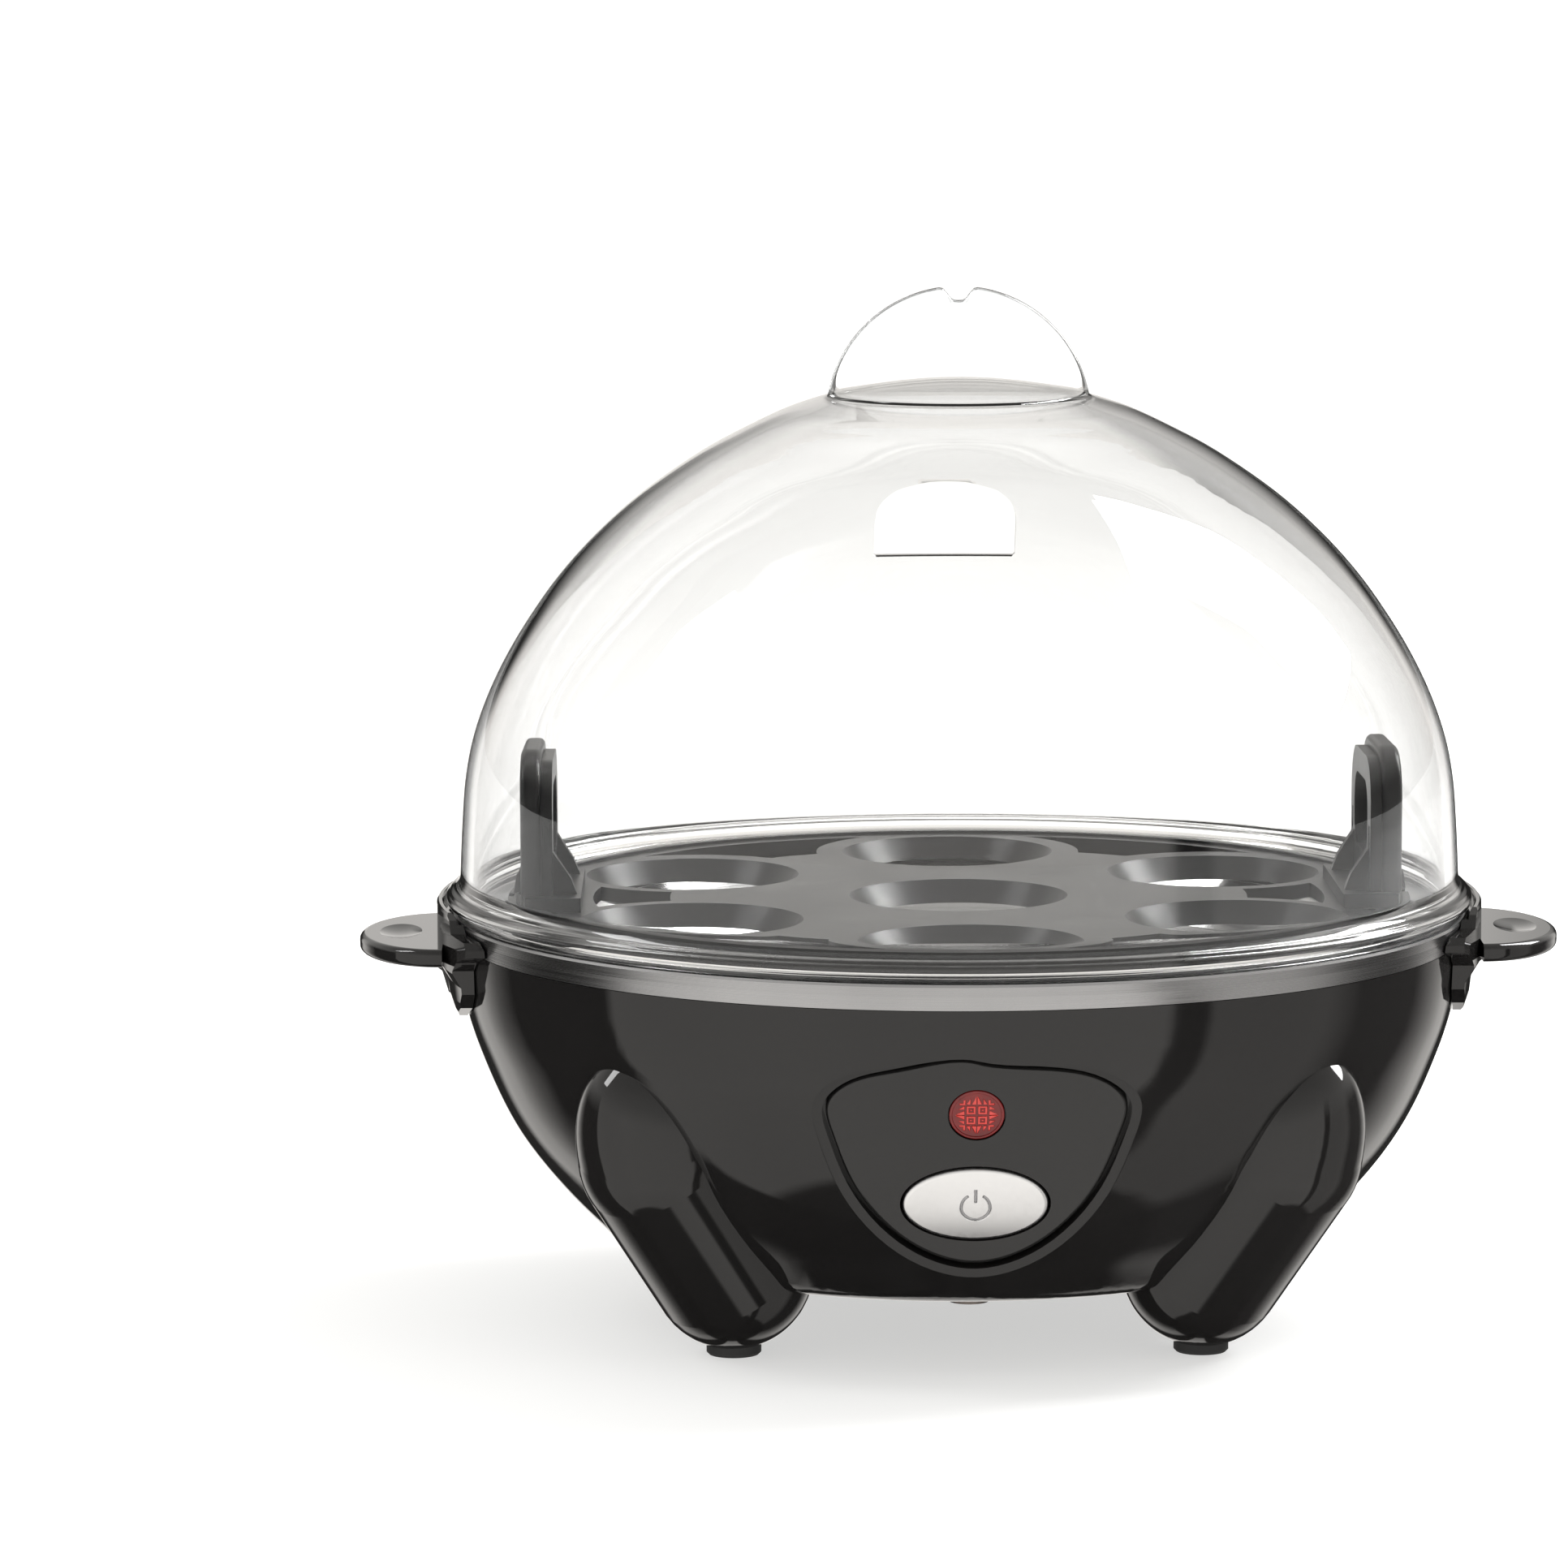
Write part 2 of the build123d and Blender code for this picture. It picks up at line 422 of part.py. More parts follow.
switch = on_panel(0, BUTTON_T, -19.5, Box(15, 12, 11.5, align=C3)) + on_panel(0, BUTTON_T, -9.6, Box(35.4, 8.6, 1.58, align=C3))
switch = switch - on_panel(0, BUTTON_T, -14.5, Cylinder(2.3, 10, align=C3))
for sx in (-14.6, 14.6):
    switch = switch - on_panel(sx, BUTTON_T, -12, Cylinder(1.25, 6, align=C3))
for sx in (-4.5, 4.5):
    switch = switch + on_panel(sx, BUTTON_T, -24.5, Box(0.8, 4.8, 5.2, align=C3))
save("switch_body", switch)
save("switch_screws", [on_panel(sx, BUTTON_T, -11.0, Cylinder(2.1, 1.4, align=C3)) + on_panel(sx, BUTTON_T, -9.6, Cylinder(0.95, 4.6, align=C3))
                       - on_panel(sx, BUTTON_T, -11.2, Box(3.0, 0.6, 0.7, align=C3)) for sx in (-14.6, 14.6)])

# -------------------------------------------------- supply: terminals, inlet
tb = block(-13.3, 13.3, TB[1] - 6, TB[1] + 6, BOTTOM_Z + WALL + 0.02, 24.0)
for x in (-8.4, 0, 8.4):
    tb = tb - cyl_y(1.7, TB[1] - 10, TB[1] + 10, x, 18.2) - cyl(1.9, 7, x, TB[1], 18.4)
save("terminal_block", tb)
save("terminal_screws", [cyl(1.8, 3.0, x, TB[1], 20.2) - block(x - 2, x + 2, TB[1] - 0.3, TB[1] + 0.3, 22.4, 24) for x in (-8.4, 0, 8.4)])
bush = cyl_y(8.0, INLET_Y, INLET_Y + 2.0, 0, INLET_Z) + cyl_y(5.5, INLET_Y - 13.0, INLET_Y, 0, INLET_Z)
bush = chamfer(bush.edges().sort_by(Axis.Y)[-1], 0.6)
bush = bush - cyl_y(INLET_R, 40, 80, 0, INLET_Z)
save("cord_bush", bush)

# ----------------------------------------------------------------- egg tray
tray = cyl(TRAY_R, TRAY_Z1 - TRAY_Z0, 0, 0, TRAY_Z0)
tray = tray + (cyl(TRAY_R, TRAY_Z0 - 62.45, 0, 0, 62.45) - cyl(68.6, 5, 0, 0, 60))
tray = tray + (cyl(TRAY_R, 0.4, 0, 0, TRAY_Z1) - cyl(69.1, 5, 0, 0, 62))
seats = [(0.0, 0.0)] + [(SEAT_PITCH_R * sin(radians(a)), -SEAT_PITCH_R * cos(radians(a))) for a in range(0, 360, 60)]
for x, y in seats:
    tray = tray + Pos(x, y, SEAT_BOT_Z) * Cone(SEAT_BOT_R + SEAT_WALL, SEAT_TOP_R, TRAY_Z0 - SEAT_BOT_Z, align=C3)
slope = (SEAT_TOP_R - SEAT_BOT_R) / (TRAY_Z1 - SEAT_BOT_Z)
for x, y in seats:
    tray = tray - Pos(x, y, SEAT_BOT_Z - 1) * Cone(SEAT_BOT_R - slope, SEAT_TOP_R + slope, TRAY_Z1 - SEAT_BOT_Z + 2, align=C3)
# curved three-sided steam slots between the outer seats
vent = Circle(66.0) - Circle(50.0)
for x, y in seats[1:]:
    vent = vent - Pos(x, y) * Circle(21.3)
vent = vent - Rectangle(160, 34)
tray = tray - Pos(0, 0, 60) * extrude(vent, amount=10)
vent2 = (Circle(57.0) - Circle(45.0)) & Rectangle(160, 34)
for x, y in seats[1:]:
    vent2 = vent2 - Pos(x, y) * Circle(19.6)
tray = tray - Pos(0, 0, 60) * extrude(vent2, amount=10)
# lifting loops, clipped down on the tray
handles = []
for sx in (1, -1):
    loop = extrude(RectangleRounded(2 * HANDLE_HALF, HANDLE_Z - 60.0, 8.0), amount=3.1)
    loop = fillet(loop.faces().sort_by(Axis.Z)[0].edges() + loop.faces().sort_by(Axis.Z)[-1].edges(), 0.9)
    loop2 = extrude(RectangleRounded(2 * HANDLE_HALF - 1.6, HANDLE_Z - 1.7 - 60.0, 7.4), amount=1.8)
    hp = Plane(origin=(64.6, 0, 0), x_dir=(0, 1, 0), z_dir=(1, 0, 0))
    h = hp * Pos(0, (HANDLE_Z + 60.0) / 2, 0) * loop + hp * Pos(0, (HANDLE_Z - 1.7 + 60.0) / 2, -1.7) * loop2
    h = h - hp * Pos(0, 78.2, -5) * extrude(RectangleRounded(19.0, 11.4, 4.5), amount=12)
    for gy in (-11.9, 11.9):
        h = h - block(67.2, 70, gy - 0.6, gy + 0.6, 69.5, 77.5) - block(60, 63.4, gy - 0.6, gy + 0.6, 69.5, 77.5)
    foot = block(58.6, 69.0, -HANDLE_HALF - 1.5, HANDLE_HALF + 1.5, TRAY_Z1, 67.6)
    foot = foot & cyl(69.0, 20, 0, 0, 55)
    h = h & block(50, 80, -30, 30, TRAY_Z1, 100)
    gus = make_face(Polyline((63.2, 0, 74.5), (63.2, 0, 67.4), (59.2, 0, 67.4), (60.2, 0, 70.0), close=True))
    for gy in (-10.5, 10.5):
        h = h + Pos(0, gy + 1.0, 0) * extrude(gus, amount=2.0, dir=(0, -1, 0))
    gus2 = make_face(Polyline((67.4, 0, 72.5), (67.4, 0, 67.4), (69.0, 0, 67.4), (68.6, 0, 70.0), close=True))
    for gy in (-8.0, 8.0):
        h = h + Pos(0, gy + 1.0, 0) * extrude(gus2, amount=2.0, dir=(0, -1, 0))
    h = h + foot
    handles.append(Rot(0, 0, 0 if sx > 0 else 180) * h)
    tray = tray - block(min(sx * 69.3, sx * 72), max(sx * 69.3, sx * 72), -1.6, 1.6, 60, 70)
save("egg_tray", tray)
save("tray_handles", handles)

# ---------------------------------------------------------------------- lid
lid_in = inward(LID_OUT, -LID_T)
lid_in[0] = (75.7, 69.3)
top_edge_in = (18.4, LID_OUT[-1][1] - LID_T + 0.35)
lid_in = lid_in[:-1] + [top_edge_in]
lo_edge = Spline(*rz(LID_OUT), tangents=[(0, 0, 1), (-1, 0, 0.22)])
li_edge = Spline(*rz(lid_in), tangents=[(0, 0, 1), (-1, 0, 0.22)])
crown_out = ThreePointArc((20.3, 0, 144.0), (10.3, 0, 145.65), (0, 0, LID_TOP_Z))
crown_in = ThreePointArc((18.4, 0, top_edge_in[1]), (9.3, 0, 143.2 + 0.25), (0, 0, LID_TOP_Z - LID_T))
flange_arc = ThreePointArc((79.3, 0, 67.2), (78.15, 0, 67.95), (77.7, 0, 69.3))
lid_face = make_face(Curve() + [
    flange_arc, lo_edge,
    Line((20.3, 0, LID_OUT[-1][1]), (20.3, 0, 144.0)), crown_out,
    Line((0, 0, LID_TOP_Z), (0, 0, LID_TOP_Z - LID_T)), crown_in, li_edge,
    Polyline(*rz([(75.7, 69.3), (75.7, 64.05), (77.0, 64.05), (77.0, FLANGE_Z0), (FLANGE_R - 0.3, FLANGE_Z0), (FLANGE_R, FLANGE_Z0 + 0.3),
                  (FLANGE_R, FLANGE_Z1), (79.3, 67.2)])),
])
lid = revolve(lid_face, Axis.Z)
fin = cyl_y(FIN_R, -FIN_T / 2, FIN_T / 2, 0, FIN_CZ)
fin = fillet(fin.edges(), 0.7)
fin = fin - (Pos(0, 5, FIN_CZ + FIN_R + 0.4) * Rot(90, 0, 0) * Cylinder(2.6, 10, align=C3))
fin = fin & block(-30, 30, -5, 5, 143.0, 170)
lid = lid + fin
# arched steam opening in the rear of the dome
arch = extrude(make_face(Curve() + [Polyline((-11.6, 0, 119.0), (-11.6, 0, 112.4), (11.6, 0, 112.4), (11.6, 0, 119.0)),
                                    ThreePointArc((11.6, 0, 119.0), (0, 0, 126.0), (-11.6, 0, 119.0))]), amount=90, dir=(0, 1, 0))
lid = lid - (arch & block(-20, 20, 20, 90, 100, 140))
save("lid", lid)
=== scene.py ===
import bpy, bmesh, math
from math import sin, cos, radians, pi, sqrt
from mathutils import Vector, Quaternion, Matrix


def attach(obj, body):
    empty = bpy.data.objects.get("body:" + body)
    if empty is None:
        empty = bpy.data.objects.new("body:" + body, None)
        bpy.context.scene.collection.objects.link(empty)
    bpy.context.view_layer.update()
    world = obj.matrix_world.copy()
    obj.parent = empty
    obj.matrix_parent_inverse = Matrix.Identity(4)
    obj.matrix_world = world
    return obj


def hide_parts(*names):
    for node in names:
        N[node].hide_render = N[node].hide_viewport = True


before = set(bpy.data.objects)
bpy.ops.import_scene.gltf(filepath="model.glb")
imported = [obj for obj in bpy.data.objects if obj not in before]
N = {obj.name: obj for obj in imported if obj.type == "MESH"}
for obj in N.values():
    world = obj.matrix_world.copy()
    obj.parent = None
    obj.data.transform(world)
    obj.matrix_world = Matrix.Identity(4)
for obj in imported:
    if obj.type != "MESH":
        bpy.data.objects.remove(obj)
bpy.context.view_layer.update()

scene = bpy.context.scene
MM = 0.001


# ------------------------------------------------------------------ materials
def new_mat(name):
    m = bpy.data.materials.new(name)
    m.use_nodes = True
    nt = m.node_tree
    b = nt.nodes["Principled BSDF"]
    return m, nt, b


def add(nt, kind, **kw):
    n = nt.nodes.new(kind)
    for k, v in kw.items():
        setattr(n, k, v)
    return n


def noise(nt, coord, scale, detail=3.0, rough=0.55):
    n = add(nt, "ShaderNodeTexNoise")
    n.inputs["Scale"].default_value = scale
    n.inputs["Detail"].default_value = detail
    n.inputs["Roughness"].default_value = rough
    nt.links.new(coord, n.inputs["Vector"])
    return n.outputs["Fac"]


def ramp(nt, fac, lo, hi, a=0.3, b=0.7):
    """Maps fac from a..b to lo..hi."""
    m = add(nt, "ShaderNodeMapRange")
    m.inputs["From Min"].default_value = a
    m.inputs["From Max"].default_value = b
    m.inputs["To Min"].default_value = lo
    m.inputs["To Max"].default_value = hi
    nt.links.new(fac, m.inputs["Value"])
    return m.outputs["Result"]


def colour(nt, fac, c0, c1, a=0.3, b=0.7):
    r = add(nt, "ShaderNodeValToRGB")
    r.color_ramp.elements[0].position = a
    r.color_ramp.elements[0].color = (*c0, 1)
    r.color_ramp.elements[1].position = b
    r.color_ramp.elements[1].color = (*c1, 1)
    nt.links.new(fac, r.inputs["Fac"])
    return r.outputs["Color"]


def bump(nt, b, heights, dist):
    """heights: list of (socket, weight), summed into one bump."""
    total = None
    for s, w in heights:
        m = add(nt, "ShaderNodeMath", operation="MULTIPLY")
        nt.links.new(s, m.inputs[0])
        m.inputs[1].default_value = w
        if total is None:
            total = m.outputs[0]
        else:
            a = add(nt, "ShaderNodeMath", operation="ADD")
            nt.links.new(total, a.inputs[0])
            nt.links.new(m.outputs[0], a.inputs[1])
            total = a.outputs[0]
    bn = add(nt, "ShaderNodeBump")
    bn.inputs["Strength"].default_value = 1.0
    bn.inputs["Distance"].default_value = dist
    nt.links.new(total, bn.inputs["Height"])
    nt.links.new(bn.outputs["Normal"], b.inputs["Normal"])


def obj_coord(nt, scale=(1, 1, 1)):
    t = add(nt, "ShaderNodeTexCoord")
    m = add(nt, "ShaderNodeMapping")
    m.inputs["Scale"].default_value = scale
    nt.links.new(t.outputs["Object"], m.inputs["Vector"])
    return m.outputs["Vector"]


def radius_coord(nt):
    """(distance from the Z axis, z, 0): for turned and spun faces."""
    t = add(nt, "ShaderNodeTexCoord")
    s = add(nt, "ShaderNodeSeparateXYZ")
    nt.links.new(t.outputs["Object"], s.inputs[0])
    c = add(nt, "ShaderNodeCombineXYZ")
    nt.links.new(s.outputs[0], c.inputs[0])
    nt.links.new(s.outputs[1], c.inputs[1])
    ln = add(nt, "ShaderNodeVectorMath", operation="LENGTH")
    nt.links.new(c.outputs[0], ln.inputs[0])
    o = add(nt, "ShaderNodeCombineXYZ")
    nt.links.new(ln.outputs["Value"], o.inputs[0])
    nt.links.new(s.outputs[2], o.inputs[1])
    return o.outputs[0]


def plastic(name, c0, c1, rough, rough_var, grain=0.0, grain_scale=900, coat=0.0, spec=0.5):
    m, nt, b = new_mat(name)
    co = obj_coord(nt)
    big = noise(nt, co, 18, 4)
    fine = noise(nt, co, grain_scale, 3, 0.6)
    nt.links.new(colour(nt, big, c0, c1), b.inputs["Base Color"])
    nt.links.new(ramp(nt, noise(nt, co, 60, 5, 0.65), rough - rough_var, rough + rough_var), b.inputs["Roughness"])
    b.inputs["Specular IOR Level"].default_value = spec
    b.inputs["Coat Weight"].default_value = coat
    b.inputs["Coat Roughness"].default_value = 0.03
    if grain:
        bump(nt, b, [(fine, 1.0)], grain)
    return m


def metal(name, c0, c1, rough, rough_var, brushed=None, brush_depth=2e-6, spun=False):
    m, nt, b = new_mat(name)
    b.inputs["Metallic"].default_value = 1.0
    co = obj_coord(nt)
    if spun:
        v = radius_coord(nt)
        lines = noise(nt, v, 2600, 2, 0.5)
        wide = noise(nt, v, 240, 3, 0.6)
    else:
        v = obj_coord(nt, brushed or (1, 1, 1))
        lines = noise(nt, v, 1500 if not brushed else 1.0, 3, 0.6)
        wide = noise(nt, co, 35, 4)
    nt.links.new(colour(nt, wide, c0, c1), b.inputs["Base Color"])
    nt.links.new(ramp(nt, lines, rough - rough_var, rough + rough_var), b.inputs["Roughness"])
    bump(nt, b, [(lines, 1.0)], brush_depth)
    return m


BLACK = plastic("black_gloss_mat", (0.0105, 0.0100, 0.0098), (0.0135, 0.0128, 0.0125), 0.05, 0.015, grain=6e-8, grain_scale=1400, spec=0.52)
PANEL = plastic("panel_gloss_mat", (0.013, 0.0125, 0.0122), (0.016, 0.0155, 0.015), 0.09, 0.02, grain=1e-7, grain_scale=1400, spec=0.56)
MATTE = plastic("black_matte_mat", (0.018, 0.018, 0.019), (0.028, 0.028, 0.029), 0.5, 0.08, grain=1.2e-5, grain_scale=1500)
TRAYM = plastic("tray_charcoal_mat", (0.022, 0.022, 0.023), (0.028, 0.028, 0.029), 0.34, 0.03, grain=1.5e-7, grain_scale=1100, spec=0.32)
RUBBER = plastic("rubber_mat", (0.015, 0.015, 0.015), (0.03, 0.03, 0.03), 0.75, 0.1, grain=2e-5, grain_scale=1800)
SILICONE = plastic("silicone_mat", (0.30, 0.30, 0.31), (0.42, 0.42, 0.43), 0.55, 0.08, grain=6e-6, grain_scale=1600)
PHENOLIC = plastic("phenolic_mat", (0.05, 0.022, 0.012), (0.10, 0.045, 0.022), 0.42, 0.08, grain=5e-6, grain_scale=1000)
NYLON = plastic("nylon_mat", (0.62, 0.60, 0.55), (0.74, 0.72, 0.67), 0.4, 0.06, grain=3e-6, grain_scale=900)
TRIM = metal("trim_satin_mat", (0.43, 0.43, 0.435), (0.50, 0.50, 0.505), 0.27, 0.05, brushed=(25, 25, 9000), brush_depth=1.2e-6)
DISH = metal("dish_spun_mat", (0.60, 0.60, 0.61), (0.70, 0.70, 0.70), 0.24, 0.07, spun=True, brush_depth=1.5e-6)
ZINC = metal("zinc_mat", (0.50, 0.50, 0.48), (0.64, 0.63, 0.60), 0.34, 0.08)
ELEM = metal("element_mat", (0.16, 0.14, 0.13), (0.28, 0.25, 0.23), 0.5, 0.1)
BRASS = metal("brass_mat", (0.60, 0.42, 0.18), (0.74, 0.56, 0.28), 0.3, 0.06, spun=True)
SILVER = metal("button_silver_mat", (0.90, 0.90, 0.90), (0.95, 0.95, 0.95), 0.33, 0.05, brush_depth=1.2e-6)
MARK = metal("button_mark_mat", (0.44, 0.44, 0.45), (0.52, 0.52, 0.53), 0.42, 0.05)


def clear_plastic(name, tint, rough, ior=1.49):
    m, nt, b = new_mat(name)
    co = obj_coord(nt)
    b.inputs["Base Color"].default_value = (*tint, 1)
    # Layer Weight darkens the base colour towards grazing angles: painted shade that draws dark silhouette edges on the
    # clear plastic.
    lw = add(nt, "ShaderNodeLayerWeight")
    lw.inputs["Blend"].default_value = 0.5
    painted_edge_shade_ramp = add(nt, "ShaderNodeValToRGB")
    els = painted_edge_shade_ramp.color_ramp.elements
    els[0].position, els[0].color = 0.50, (1, 1, 1, 1)
    els[1].position, els[1].color = 1.0, (0.10, 0.10, 0.105, 1)
    for p, v in ((0.66, 0.93), (0.78, 0.74), (0.88, 0.42)):
        e = els.new(p)
        e.color = (v, v, v * 1.005, 1)
    nt.links.new(lw.outputs["Facing"], painted_edge_shade_ramp.inputs["Fac"])
    mx = add(nt, "ShaderNodeMix", data_type="RGBA", blend_type="MULTIPLY")
    mx.inputs["Factor"].default_value = 1.0
    nt.links.new(colour(nt, noise(nt, co, 9, 3), tuple(c * 0.985 for c in tint), tint), mx.inputs[6])
    nt.links.new(painted_edge_shade_ramp.outputs["Color"], mx.inputs[7])
    nt.links.new(mx.outputs[2], b.inputs["Base Color"])
    nt.links.new(ramp(nt, noise(nt, co, 40, 4), max(rough - 0.004, 0), rough + 0.008), b.inputs["Roughness"])
    b.inputs["Transmission Weight"].default_value = 1.0
    b.inputs["IOR"].default_value = ior
    bump(nt, b, [(noise(nt, co, 14, 2), 1.0)], 2e-5)
    return m


CLEAR = clear_plastic("clear_dome_mat", (0.955, 0.955, 0.95), 0.004)
# Clear plastic tinted dark grey for the vent's cut faces and the fin's rolled rim: painted shade for their dark edges.
EDGE_PAINTED_SHADE = clear_plastic("clear_edge_painted_shade_mat", (0.40, 0.41, 0.42), 0.01)
LAMP = clear_plastic("lamp_glass_mat", (0.95, 0.80, 0.70), 0.02)
def red(name, c0, c1, glow):
    m, nt, b = new_mat(name)
    co = obj_coord(nt)
    nt.links.new(colour(nt, noise(nt, co, 300, 3), c0, c1), b.inputs["Base Color"])
    nt.links.new(ramp(nt, noise(nt, co, 500, 3), 0.06, 0.14), b.inputs["Roughness"])
    b.inputs["Subsurface Weight"].default_value = 0.1
    b.inputs["Subsurface Radius"].default_value = (0.002, 0.0005, 0.0005)
    b.inputs["Emission Color"].default_value = (0.9, 0.03, 0.02, 1)
    b.inputs["Emission Strength"].default_value = glow
    b.inputs["Coat Weight"].default_value = 0.5
    b.inputs["IOR"].default_value = 1.5
    return m


# The raised lens pattern is painted brighter red and given a faint emission: a painted highlight and glow on its
# facets, while the rest of the lens does not glow.
LENS_RELIEF_PAINTED_HIGHLIGHT = red("red_lens_relief_painted_highlight_mat", (0.56, 0.034, 0.027), (0.66, 0.06, 0.048), 0.03)
mlens = red("red_lens_mat", (0.12, 0.003, 0.003), (0.19, 0.005, 0.005), 0.0)
LENS = mlens

BY_NODE = {
    "base_shell": BLACK, "bottom_cover": MATTE, "bottom_screws": ELEM, "rubber_feet": RUBBER, "trim_ring": TRIM, "heating_dish": DISH,
    "dish_seal": SILICONE, "heating_element": ELEM, "element_clamp": ZINC, "thermostat_clip": ZINC, "thermostat": PHENOLIC,
    "thermal_fuse": PHENOLIC, "heat_shield": ZINC, "shield_nuts": ZINC, "mounting_strap": ZINC, "strap_nuts": ZINC,
    "strap_screws": ZINC, "right_grip": BLACK, "left_grip": BLACK, "grip_screws": ZINC, "control_panel": PANEL,
    "indicator_lens": LENS, "lamp_holder": MATTE, "indicator_lamp": LAMP, "switch_body": MATTE, "switch_screws": ZINC,
    "terminal_block": NYLON, "terminal_screws": BRASS, "cord_bush": MATTE, "egg_tray": TRAYM, "tray_handles": TRAYM, "lid": CLEAR,
    "power_button": SILVER, "switch_plunger": NYLON, "button_spring": ZINC,
}
for name, o in N.items():
    o.data.materials.clear()
    o.data.materials.append(BY_NODE[name])


# ---------------------------------------------------------------- mesh helpers
def mesh_obj(name, verts, faces, mat, smooth=True):
    me = bpy.data.meshes.new(name)
    me.from_pydata([tuple(v) for v in verts], [], faces)
    me.validate()
    if smooth:
        for p in me.polygons:
            p.use_smooth = True
    me.materials.append(mat)
    o = bpy.data.objects.new(name, me)
    scene.collection.objects.link(o)
    return o


def sharpen(o, angle=35):
    """Smooth shading with edges sharper than angle kept crisp."""
    me = o.data
    bm = bmesh.new()
    bm.from_mesh(me)
    for e in bm.edges:
        if len(e.link_faces) == 2 and e.calc_face_angle(0) > radians(angle):
            e.smooth = False
        else:
            e.smooth = True
    bm.to_mesh(me)
    bm.free()


def catmull(pts, n=6):
    out = []
    P = [pts[0]] + list(pts) + [pts[-1]]
    for i in range(1, len(P) - 2):
        p0, p1, p2, p3 = P[i - 1], P[i], P[i + 1], P[i + 2]
        for k in range(n):
            t = k / n
            out.append(tuple(0.5 * ((2 * p1[j]) + (-p0[j] + p2[j]) * t + (2 * p0[j] - 5 * p1[j] + 4 * p2[j] - p3[j]) * t * t
                                    + (-p0[j] + 3 * p1[j] - 3 * p2[j] + p3[j]) * t ** 3) for j in (0, 1)))
    out.append(tuple(pts[-1]))
    return out


def lathe(name, prof, seg, mat, closed=True):
    """prof: list of (r, z) in mm, a closed loop unless it starts and ends on the axis."""
    verts, faces, rows = [], [], []
    for r, z in prof:
        if r < 1e-6:
            rows.append([len(verts)] * seg)
            verts.append((0, 0, z * MM))
        else:
            row = []
            for k in range(seg):
                a = 2 * pi * k / seg
                row.append(len(verts))
                verts.append((r * MM * sin(a), -r * MM * cos(a), z * MM))
            rows.append(row)
    n = len(rows)
    for i in range(n if closed else n - 1):
        a, b = rows[i], rows[(i + 1) % n]
        for k in range(seg):
            q = (k + 1) % seg
            f = [a[k], a[q], b[q], b[k]]
            f = [v for j, v in enumerate(f) if v != f[j - 1]]
            if len(set(f)) >= 3:
                faces.append(f)
    return mesh_obj(name, verts, faces, mat)


def fix_normals(o):
    bm = bmesh.new()
    bm.from_mesh(o.data)
    bmesh.ops.remove_doubles(bm, verts=bm.verts, dist=1e-7)
    bmesh.ops.recalc_face_normals(bm, faces=bm.faces)
    bm.to_mesh(o.data)
    bm.free()


# ------------------------------------------------------------------ lid dome
LID_OUT = [(77.7, 69.3), (77.55, 73.0), (77.3, 77.8), (76.8, 84.1), (75.6, 90.4), (73.4, 96.8), (70.4, 103.1),
           (66.6, 109.4), (62.0, 115.8), (56.3, 122.1), (49.2, 128.4), (40.1, 134.7),
           (32.7, 138.7), (26.5, 141.6), (20.6, 143.55)]
T = 2.0
outer = catmull(LID_OUT, 5)
inner = []
for i, (r, z) in enumerate(outer):
    a, c = outer[max(i - 1, 0)], outer[min(i + 1, len(outer) - 1)]
    dr, dz = c[0] - a[0], c[1] - a[1]
    m = math.hypot(dr, dz)
    inner.append((r - T * dz / m, z + T * dr / m))
crown_o = [(20.3, 143.7), (20.15, 143.95), (19.8, 144.05), (18.6, 144.25), (16, 144.67), (12, 145.3), (8, 145.8), (4, 146.1), (0, 146.2)]
crown_i = [(0, 144.2), (4, 144.1), (8, 143.8), (12, 143.3), (16, 142.62), (18.6, 142.1)]
foot = [(75.7, 68.5), (75.7, 66.4), (75.75, 64.35), (75.95, 64.1), (76.6, 64.07), (76.9, 64.2), (77.0, 64.6), (77.2, 64.92), (79.3, 64.94), (79.7, 65.1),
        (79.87, 65.4), (79.88, 65.9), (79.8, 66.25), (79.5, 66.5), (79.35, 66.62), (79.3, 66.85), (79.1, 67.05), (78.75, 67.2), (78.55, 67.3), (78.4, 67.5),
        (78.1, 67.95), (77.85, 68.5)]
prof = foot + outer + crown_o + crown_i + inner[::-1]
dome = lathe("lid_dome", prof, 256, CLEAR)
fix_normals(dome)


def boolean(o, cutter, op="DIFFERENCE"):
    md = o.modifiers.new("b", "BOOLEAN")
    md.operation = op
    md.solver = "EXACT"
    md.object = cutter
    dg = bpy.context.evaluated_depsgraph_get()
    me = bpy.data.meshes.new_from_object(o.evaluated_get(dg))
    o.modifiers.clear()
    old = o.data
    o.data = me
    bpy.data.meshes.remove(old)
    bpy.data.objects.remove(cutter)


def prism_y(name, pts, y0, y1, mat):
    """Closed prism along Y of (x, z) points, millimetres."""
    n = len(pts)
    verts = [(x * MM, y0 * MM, z * MM) for x, z in pts] + [(x * MM, y1 * MM, z * MM) for x, z in pts]
    faces = [list(range(n)), list(range(2 * n - 1, n - 1, -1))] + [[i, (i + 1) % n, n + (i + 1) % n, n + i][::-1] for i in range(n)]
    o = mesh_obj(name, verts, faces, mat)
    fix_normals(o)
    return o


arch_pts = [(-11.3, 112.7), (11.3, 112.7), (11.6, 113.0)]
arch_pts += [(11.6, 118.8)] + [(11.6 * cos(radians(a)), 118.8 + 7.2 * sin(radians(a))) for a in range(8, 176, 8)] + [(-11.6, 118.8), (-11.6, 113.0)]
boolean(dome, prism_y("cut", arch_pts, 20, 90, CLEAR))
fix_normals(dome)
for p in dome.data.polygons:
    p.use_smooth = True
sharpen(dome, 40)
dome.data.materials.clear()
dome.data.materials.append(CLEAR)
dome.data.materials.append(EDGE_PAINTED_SHADE)
# The vent's cut side faces get the dark-tinted edge material: painted shade.
for p in dome.data.polygons:
    c = p.center
    p.material_index = 1 if c.y > 0.040 and abs(c.x) < 0.0118 and 0.1125 < c.z < 0.1265 and abs(p.normal.y) < 0.45 else 0
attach(dome, "lid")
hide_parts("lid")


